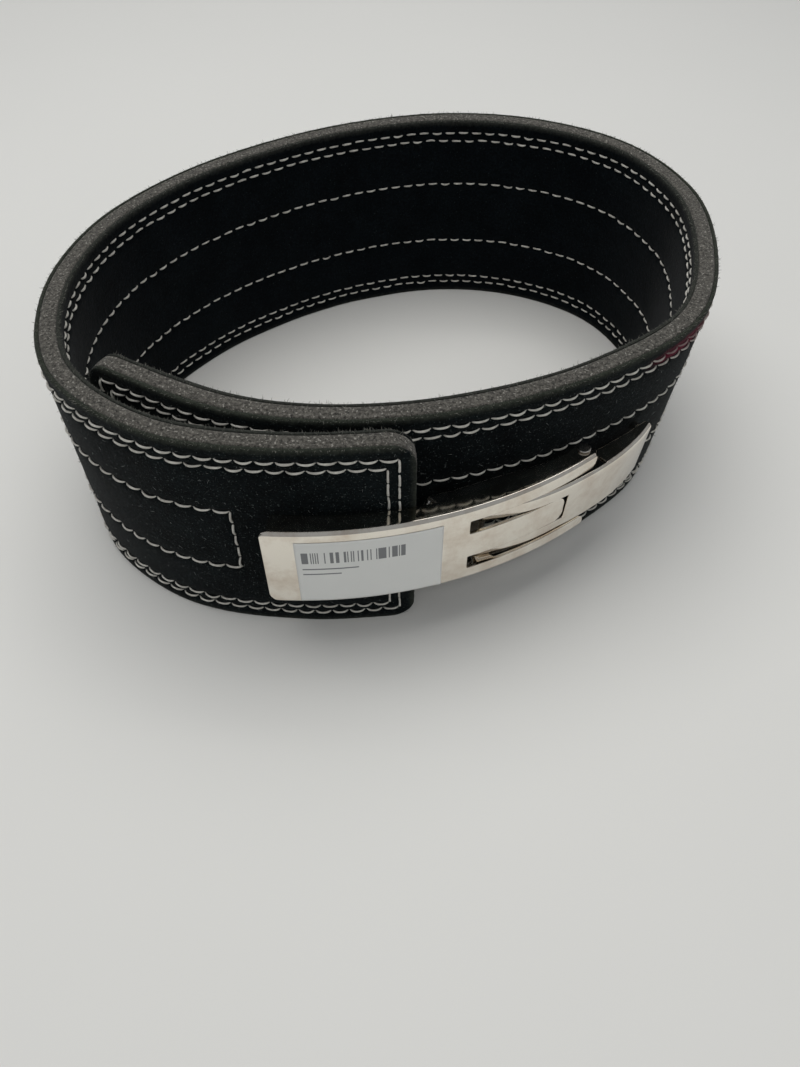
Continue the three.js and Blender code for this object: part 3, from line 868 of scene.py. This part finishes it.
def suede(name, dark, light, fleck, fleck_amount, wear_colour, streaks):
    """Napped suede: blotches, brushed streaks, grain, pale flecks and worn edges."""
    shader = Shader(name)
    blotch = shader.noise(55, 5, 0.65)
    fine = shader.noise(900, 3, 0.7)
    brushed = shader.noise(1, 4, 0.6, shader.scaled(shader.lie, streaks))
    base = shader.mix(shader.ramp(blotch, (0.35, 0.0), (0.7, 1.0)), dark, light)
    base = shader.mix(shader.math("MULTIPLY", brushed, 0.35), base, light)
    grain = shader.ramp(fine, (0.42, 0.55), (0.62, 1.25))
    base = shader.mix(1.0, base, grain, "MULTIPLY")
    speck = shader.ramp(shader.noise(1500, 2, 0.5), (0.66 - fleck_amount, 0.0), (0.74, 1.0))
    base = shader.mix(speck, base, fleck)
    patchy = shader.ramp(fine, (0.3, 0.45), (0.6, 1.0))
    wear = shader.math("MULTIPLY", border_wear(shader), patchy)
    base = stained(shader, shader.mix(wear, base, wear_colour))
    bump = shader.bump(shader.noise(700, 4, 0.7), 0.00045, 0.8)
    bump = shader.bump(shader.noise(140, 3, 0.6), 0.0004, 0.5, bump)
    return shader.set(Base_Color=base, Roughness=0.97, Sheen_Weight=0.05, Sheen_Roughness=0.4,
                      Specular_IOR_Level=0.08, Normal=bump)


def stained(shader, base):
    """A small wine-red stain near the claw, on the strap's upper edge."""
    centre = (0.1135, -0.0475, 0.0935)
    offset = shader.node("VectorMath", {0: shader.coords, 1: centre}, operation="SUBTRACT")
    squashed = shader.scaled(offset.outputs[0], (1.0, 1.0, 5.0))
    distance = shader.node("VectorMath", {0: squashed}, operation="LENGTH").outputs["Value"]
    ragged = shader.math("ADD", distance, shader.math("MULTIPLY", shader.noise(160), 0.022))
    amount = shader.ramp(ragged, (0.024, 1.0), (0.036, 0.0))
    return shader.mix(shader.math("MULTIPLY", amount, 0.75), base, (0.12, 0.008, 0.025))


def cut_leather():
    """The strap's raw edge: fine plies and a coarse pale grain."""
    shader = Shader("cut_leather")
    plies = shader.noise(1, 5, 0.6, shader.scaled(shader.coords, (900, 900, 60)))
    fine = shader.noise(800, 4, 0.8)
    base = shader.mix(plies, (0.038, 0.037, 0.034), (0.115, 0.108, 0.094))
    base = shader.mix(1.0, base, shader.ramp(fine, (0.38, 0.25), (0.64, 1.7)), "MULTIPLY")
    speck = shader.ramp(shader.noise(1100, 2, 0.5), (0.6, 0.0), (0.68, 1.0))
    base = shader.mix(shader.math("MULTIPLY", speck, 0.7), base, (0.34, 0.33, 0.3))
    bump = shader.bump(shader.noise(900, 4, 0.8), 0.0006, 0.9)
    return shader.set(Base_Color=stained(shader, base), Roughness=0.93, Normal=bump,
                      Specular_IOR_Level=0.2, Sheen_Weight=0.1)


def thread_material(name, colour, dirt):
    """Twisted thread, soiled in places."""
    shader = Shader(name)
    twist = shader.node("TexWave", {"Vector": shader.scaled(shader.lie, (100, 100, 100)),
                                    "Scale": 2.2, "Distortion": 1.0}, bands_direction="DIAGONAL")
    base = shader.mix(shader.ramp(shader.noise(260), (0.4, 0.0), (0.75, 1.0)), colour, dirt)
    base = shader.mix(shader.math("MULTIPLY", twist.outputs["Fac"], 0.3), base, dirt)
    bump = shader.bump(twist.outputs["Fac"], 0.0002, 0.8)
    return shader.set(Base_Color=stained(shader, base), Roughness=0.8, Normal=bump,
                      Specular_IOR_Level=0.3)


def fibre_material(name, colour):
    """Loose fibres, some paler than others."""
    shader = Shader(name)
    pale = tuple(channel * 2.2 for channel in colour)
    base = shader.mix(shader.noise(300), colour, pale)
    return shader.set(Base_Color=base, Roughness=0.9, Specular_IOR_Level=0.2)


def plated(name, colour, roughness, smudge):
    """Polished plating with finger smudges and fine scratches."""
    shader = Shader(name)
    cloud = shader.noise(38, 6, 0.65)
    rough = shader.ramp(cloud, (0.35, roughness), (0.75, roughness + smudge))
    scratch = shader.noise(1, 3, 0.6, shader.scaled(shader.coords, (250, 250, 2600)))
    dust = shader.ramp(shader.noise(2100, 2, 0.5), (0.7, 1.0), (0.76, 0.7))
    base = shader.mix(1.0, colour, dust, "MULTIPLY")
    mottle = shader.ramp(shader.noise(75, 5, 0.7), (0.32, (0.8, 0.74, 0.7)), (0.58, 1.0))
    base = shader.mix(1.0, base, mottle, "MULTIPLY")
    bump = shader.bump(shader.noise(60, 3, 0.5), 0.0002, 0.4)
    bump = shader.bump(scratch, 0.00002, 0.25, bump)
    return shader.set(Base_Color=base, Metallic=1.0, Roughness=rough, Normal=bump)


def label_paper():
    """Pale paper with a block of plain upright bars and two plain rules, no lettering."""
    shader = Shader("label_paper")
    split = shader.node("SeparateXYZ", {0: shader.lie})
    s, v = split.outputs["X"], split.outputs["Y"]

    def between(value, low, high):
        above = shader.math("GREATER_THAN", value, low)
        return shader.math("MULTIPLY", above, shader.math("LESS_THAN", value, high))

    def block(s0, s1, v0, v1):
        return shader.math("MULTIPLY", between(s, s0, s1), between(v, v0, v1))

    cell = shader.math("FLOOR", shader.math("MULTIPLY", s, 130.0))
    shade = shader.node("TexWhiteNoise", {"W": cell}, noise_dimensions="1D").outputs["Value"]
    bars = shader.math("MULTIPLY", block(0.04, 0.74, 0.66, 0.84),
                       shader.math("GREATER_THAN", shade, 0.48))
    rules = shader.math("ADD", block(0.04, 0.42, 0.555, 0.575), block(0.04, 0.3, 0.47, 0.49))
    ink = shader.math("MINIMUM", shader.math("ADD", bars, rules), 1.0)
    paper = shader.mix(shader.noise(30, 4), (0.66, 0.67, 0.65), (0.76, 0.765, 0.74))
    base = shader.mix(shader.math("MULTIPLY", ink, 0.8), paper, (0.05, 0.055, 0.07))
    bump = shader.bump(shader.noise(900, 3), 0.00005, 0.3)
    return shader.set(Base_Color=base, Roughness=0.55, Normal=bump)


def table_top():
    shader = Shader("table_top")
    base = shader.mix(shader.noise(3, 3), (0.66, 0.66, 0.64), (0.69, 0.69, 0.67))
    return shader.set(Base_Color=base, Roughness=0.55, Specular_IOR_Level=0.3)


# ---- The belt ---------------------------------------------------------------------------

outer_suede = suede("outer_suede_nap", (0.0008, 0.0017, 0.0021), (0.006, 0.0095, 0.0105),
                    (0.085, 0.1, 0.096), 0.02, (0.034, 0.038, 0.03), (260, 60, 1))
inner_suede = suede("inner_suede_nap", (0.0013, 0.0026, 0.0036), (0.0042, 0.0066, 0.0084),
                    (0.03, 0.038, 0.038), -0.03, (0.035, 0.037, 0.032), (300, 30, 1))
leather = cut_leather()
thread = thread_material("sewing_thread", (0.92, 0.9, 0.83), (0.5, 0.48, 0.43))
fuzz = fibre_material("fuzz", (0.09, 0.09, 0.08))
nap = fibre_material("nap", (0.03, 0.034, 0.032))
lint_white = fibre_material("lint_white", (0.16, 0.17, 0.165))
chrome = plated("chrome", (0.88, 0.83, 0.74), 0.05, 0.14)
steel = plated("plated_steel", (0.62, 0.61, 0.58), 0.16, 0.2)

# Cut edges, as (share of the thickness, how far it stands out).
SKIN_EDGE = [(0.0, 0.0), (0.1, 0.12), (0.5, 0.2), (0.85, 0.12), (1.0, -0.15)]
CORE_EDGE = [(0.0, -0.3), (0.06, 0.1), (0.2, 0.3), (0.3, 0.05), (0.4, 0.32), (0.52, 0.1),
             (0.64, 0.34), (0.76, 0.08), (0.9, 0.26), (1.0, -0.3)]


def add(piece, body, slot, *nodes):
    """Puts a piece on a body, in place of CAD nodes; the slot argument is not used."""
    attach(piece, body)
    if nodes:
        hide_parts(*nodes)


outer_skin = ply("strap_outer_skin", outer_suede, 1, HALF, HALF - SKIN, SKIN_EDGE)
inner_skin = ply("strap_inner_skin", inner_suede, -1, -HALF, -HALF + SKIN, SKIN_EDGE)
middle_half = HALF - SKIN - 0.05
middle_ply = ply("strap_middle", leather, 1, middle_half, -middle_half, CORE_EDGE,
                 shown_face=False)
pegs = punches()
for layer in (outer_skin, inner_skin, middle_ply):
    punched(layer, pegs)
bpy.data.objects.remove(pegs)
add(outer_skin, "strap", "suede", "outer_suede")
add(inner_skin, "strap", "suede", "inner_suede")
add(middle_ply, "strap", "core_leather", "strap_core")

for face, side in (("outer", 1), ("inner", -1)):
    for loop, part in zip(row_loops(), ("edge_thread_1", "edge_thread_2", "middle_thread")):
        add(stitch_row(f"{face}_{part}_stitches", thread, side, loop), "strap", "thread",
            f"{face}_{part}")

add(edge_fuzz(fuzz), "strap", "core_leather")
add(face_nap(nap), "strap", "suede")
add(lint(lint_white), "strap", "suede")

add(lever_piece(chrome), "lever", "chrome", "lever")
add(claw_piece(chrome), "claw", "chrome", "claw")
add(prongs(chrome), "claw", "chrome")
add(label_piece(label_paper()), "lever", "label_paper", "price_label")
add(refined_copy("base_plate", "base_plate_pressed", steel, 0.4), "strap", "steel",
    "base_plate")
add(refined_copy("main_pivot_pin", "main_pin_turned", steel, 0.2), "strap", "steel",
    "main_pivot_pin")
for node in ("claw_pivot_pin", *(f"base_screw_{k}" for k in range(1, 5)),
             *(f"binding_post_{k}" for k in range(1, 5))):
    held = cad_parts[node]
    held.data.materials.clear()
    held.data.materials.append(steel)

# ---- Table, light and camera ------------------------------------------------------------


def table():
    mesh = bpy.data.meshes.new("table")
    reach = 6.0
    corners = [(-reach, -reach, 0), (reach, -reach, 0), (reach, reach, 0), (-reach, reach, 0)]
    mesh.from_pydata(corners, [], [(0, 1, 2, 3)])
    mesh.materials.append(table_top())
    linked("table", mesh)


def area_light(name, place, aim, size, power, colour, glossy=False):
    """A soft rectangular light, shown in polished metal only if glossy."""
    light = bpy.data.lights.new(name, "AREA")
    light.shape = "RECTANGLE"
    light.size, light.size_y = size
    light.energy = power
    light.color = colour
    piece = linked(name, light)
    piece.location = place
    piece.visible_glossy = glossy
    piece.rotation_euler = (Vector(aim) - Vector(place)).to_track_quat("-Z", "Y").to_euler()


def camera():
    pitch_down = 50.6
    data = bpy.data.cameras.new("camera")
    data.sensor_width = 36.0
    data.lens = 28.68
    data.clip_start = 0.01
    piece = linked("camera", data)
    piece.location = (0.0031, -0.3178, 0.3013)
    piece.rotation_euler = (math.radians(90 - pitch_down), 0, 0)
    bpy.context.scene.camera = piece


def studio():
    world = bpy.data.worlds.new("studio")
    world.use_nodes = True
    sky = world.node_tree.nodes["Background"]
    sky.inputs["Color"].default_value = (0.93, 0.96, 1.0, 1)
    sky.inputs["Strength"].default_value = 0.3
    bpy.context.scene.world = world
    area_light("key", (-0.16, 0.26, 1.25), (0, 0.03, 0), (1.3, 1.2), 12.5, (1.0, 0.985, 0.96))
    area_light("fill", (0.35, -0.9, 1.1), (0, -0.1, 0), (1.2, 1.0), 3.5, (1.0, 0.99, 0.97))
    area_light("strip", (0.1, 0.7, 1.6), (0, 0, 0), (1.6, 0.16), 1.6, (1.0, 0.98, 0.94),
               glossy=True)


table()
studio()
camera()
bpy.context.scene.view_settings.view_transform = "Standard"
